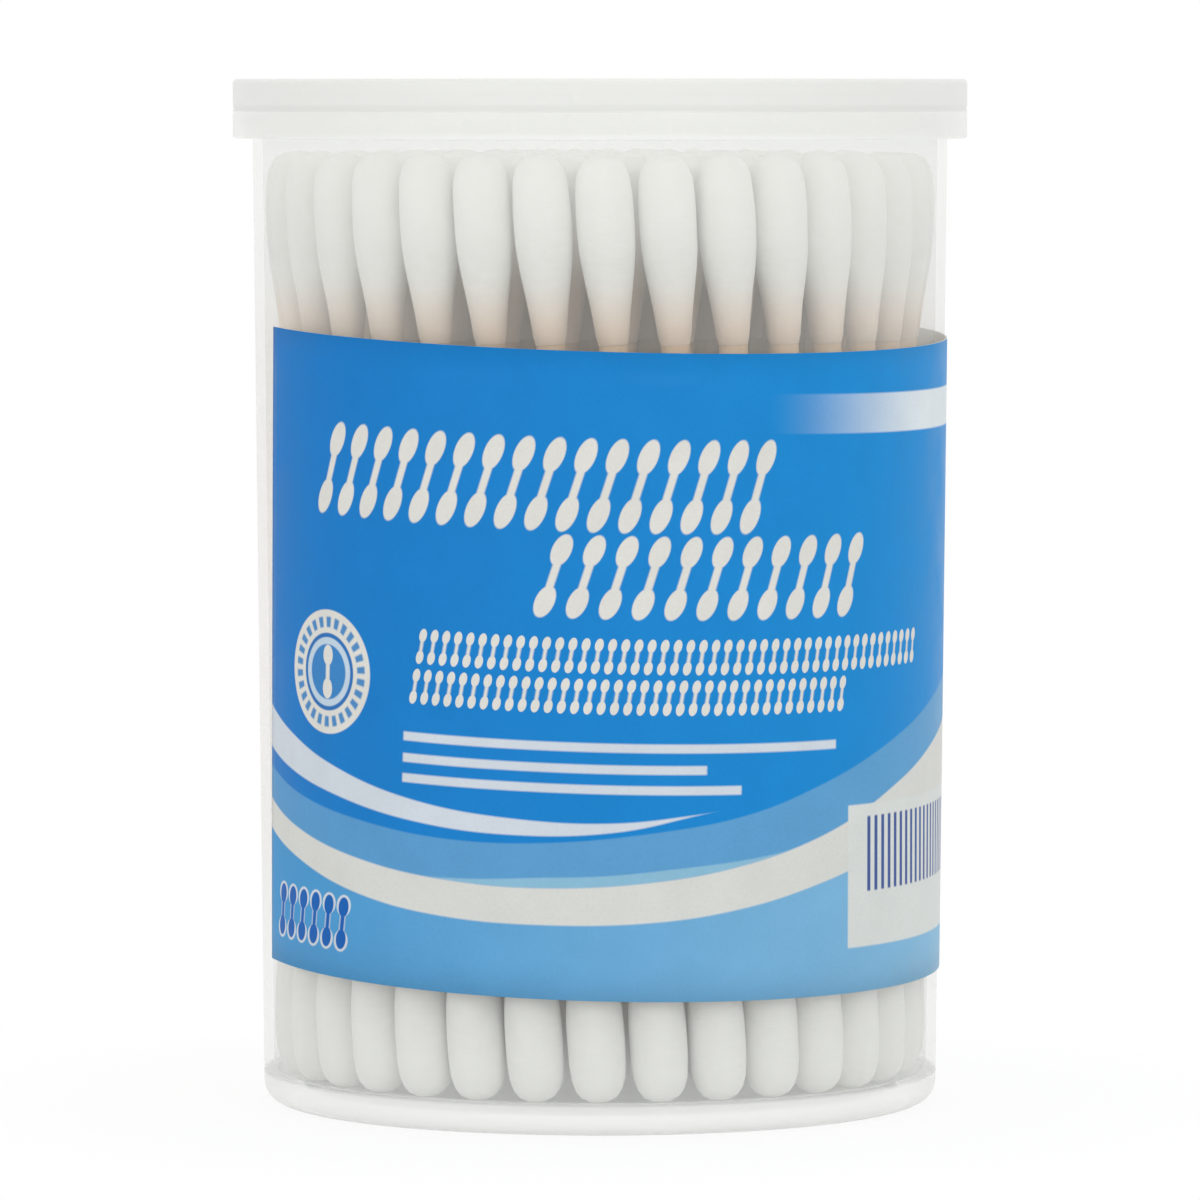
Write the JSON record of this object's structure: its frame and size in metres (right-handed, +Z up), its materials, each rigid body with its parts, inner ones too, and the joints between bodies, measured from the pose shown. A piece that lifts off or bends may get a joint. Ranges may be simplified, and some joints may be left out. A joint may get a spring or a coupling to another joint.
{
  "type": "cotton swab tub",
  "caption": "Clear round tub with a press-on lid and a wrapped blue label, packed with rings of standing wooden cotton swabs.",
  "frame": {"origin": "on the tub's axis, in the plane of the foot ring's underside", "axes": "+Z up along the tub's axis; the label's front faces -Y"},
  "size_m": [0.0596, 0.0596, 0.0832],
  "materials": {
    "tub_plastic": "clear moulded plastic with a slight haze",
    "lid_plastic": "milky clear moulded plastic",
    "label_print": "printed film label, satin",
    "birch": "plain birch",
    "cotton": "wound cotton, matt"
  },
  "bodies": {
    "tub": {"tub": "tub_plastic", "label": "label_print", "ring_1_sticks": "birch", "ring_2_sticks": "birch", "ring_3_sticks": "birch", "ring_4_sticks": "birch", "ring_5_sticks": "birch", "middle_stick": "birch", "ring_1_lower_tips": "cotton", "ring_2_lower_tips": "cotton", "ring_3_lower_tips": "cotton", "ring_4_lower_tips": "cotton", "ring_5_lower_tips": "cotton", "middle_lower_tip": "cotton", "ring_1_upper_tips": "cotton", "ring_2_upper_tips": "cotton", "ring_3_upper_tips": "cotton", "ring_4_upper_tips": "cotton", "ring_5_upper_tips": "cotton", "middle_upper_tip": "cotton"},
    "lid": {"lid": "lid_plastic"}
  },
  "joints": [
    {"name": "lid_lift", "type": "slide", "parent": "tub", "child": "lid", "axis": [0, 0, 1], "range_m": [0, 0.1]}
  ]
}
